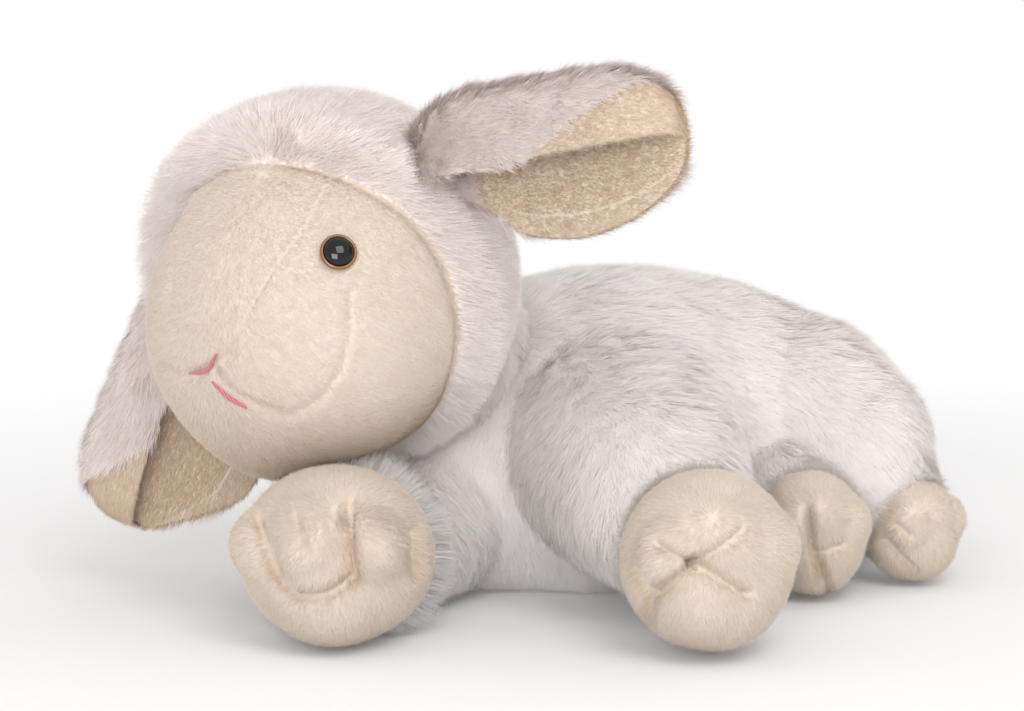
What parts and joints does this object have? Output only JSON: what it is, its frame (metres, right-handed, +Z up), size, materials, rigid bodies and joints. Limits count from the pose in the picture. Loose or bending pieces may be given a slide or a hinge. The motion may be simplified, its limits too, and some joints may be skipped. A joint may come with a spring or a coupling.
{
  "type": "weighted stuffed animal",
  "caption": "Plush lamb lying on its belly: sewn pile covers over fibre stuffing, with a weighted bead bag and soft bending neck, ears, legs and tail.",
  "frame": {"origin": "on the floor under the middle of the bounding box", "axes": "+Z up; nose towards -Y; the side that the forelegs reach out to, the lamb's own left, towards +X"},
  "size_m": [0.2926, 0.3862, 0.233],
  "materials": {
    "grey_pile": "long soft pile",
    "cream_pile": "short dense pile",
    "fibre_stuffing": "loose fibre",
    "bead_bag_cloth": "close woven cloth",
    "glass_beads": "small round beads",
    "pink_thread": "twisted thread",
    "eye_dome": "polished",
    "eye_ring": "polished gold brown",
    "lock_washer": "moulded"
  },
  "bodies": {
    "foreleg_left": {"foreleg_left_sleeve": "grey_pile", "foreleg_left_paw_cover": "cream_pile", "foreleg_left_stuffing": "fibre_stuffing"},
    "foreleg_right": {"foreleg_right_sleeve": "grey_pile", "foreleg_right_paw_cover": "cream_pile", "foreleg_right_stuffing": "fibre_stuffing"},
    "hindleg_left": {"hindleg_left_sleeve": "grey_pile", "hindleg_left_paw_cover": "cream_pile", "hindleg_left_stuffing": "fibre_stuffing"},
    "hindleg_right": {"hindleg_right_sleeve": "grey_pile", "hindleg_right_paw_cover": "cream_pile", "hindleg_right_stuffing": "fibre_stuffing"},
    "tail": {"tail": "grey_pile"},
    "neck": {"neck_cover": "grey_pile", "neck_stuffing": "fibre_stuffing"},
    "ear_left": {"ear_left_back": "grey_pile", "ear_left_lining": "cream_pile"},
    "ear_right": {"ear_right_back": "grey_pile", "ear_right_lining": "cream_pile"},
    "head": {"hood_right": "grey_pile", "hood_left": "grey_pile", "chin_panel": "cream_pile", "face_right": "cream_pile", "face_gusset": "cream_pile", "face_left": "cream_pile", "head_stuffing": "fibre_stuffing", "eye_left": "eye_dome", "eye_left_ring": "eye_ring", "eye_left_washer": "lock_washer", "mouth_stitch_left": "pink_thread", "eye_right": "eye_dome", "eye_right_ring": "eye_ring", "eye_right_washer": "lock_washer", "mouth_stitch_right": "pink_thread"},
    "body": {"belly_panel": "grey_pile", "flank_right": "grey_pile", "flank_left": "grey_pile", "body_stuffing": "fibre_stuffing", "bead_bag": "bead_bag_cloth", "glass_beads": "glass_beads"}
  },
  "joints": [
    {"name": "neck_turn", "type": "hinge", "parent": "body", "child": "neck", "pos_m": [-0.05931, -0.04381, 0.098], "axis": [0, 0, 1], "range_deg": [-12, 4], "stiffness_Nm_per_rad": 6},
    {"name": "head_nod", "type": "hinge", "parent": "neck", "child": "head", "pos_m": [-0.05531, -0.06781, 0.114], "axis": [-0.9534, -0.2972, 0.0521], "range_deg": [-2, 12], "stiffness_Nm_per_rad": 25},
    {"name": "ear_left_flap", "type": "hinge", "parent": "head", "child": "ear_left", "pos_m": [0.00232, -0.08752, 0.18499], "axis": [-0.2908, 0.9511, 0.1045], "range_deg": [-15, 15], "stiffness_Nm_per_rad": 0.6},
    {"name": "ear_right_flap", "type": "hinge", "parent": "head", "child": "ear_right", "pos_m": [-0.12136, -0.12707, 0.14333], "axis": [-0.2908, 0.9511, 0.1045], "range_deg": [-15, 15], "stiffness_Nm_per_rad": 0.6},
    {"name": "foreleg_left_swing", "type": "hinge", "parent": "body", "child": "foreleg_left", "pos_m": [-0.01831, 0.00519, 0.07], "axis": [0.2507, 0.1003, 0.9628], "range_deg": [-8, 5], "stiffness_Nm_per_rad": 4},
    {"name": "foreleg_right_swing", "type": "hinge", "parent": "body", "child": "foreleg_right", "pos_m": [-0.06331, -0.04581, 0.04], "axis": [0, 0, 1], "range_deg": [-2, 8], "stiffness_Nm_per_rad": 4},
    {"name": "hindleg_left_swing", "type": "hinge", "parent": "body", "child": "hindleg_left", "pos_m": [0.00569, 0.11919, 0.058], "axis": [0.8602, -0.5001, 0.1], "range_deg": [-1, 6], "stiffness_Nm_per_rad": 3},
    {"name": "hindleg_right_swing", "type": "hinge", "parent": "body", "child": "hindleg_right", "pos_m": [0.00769, 0.07619, 0.034], "axis": [0, 0, 1], "range_deg": [-8, 0], "stiffness_Nm_per_rad": 2},
    {"name": "tail_wag", "type": "hinge", "parent": "body", "child": "tail", "pos_m": [-0.05031, 0.16219, 0.054], "axis": [0, 0, 1], "range_deg": [-18, 18], "stiffness_Nm_per_rad": 0.2}
  ]
}
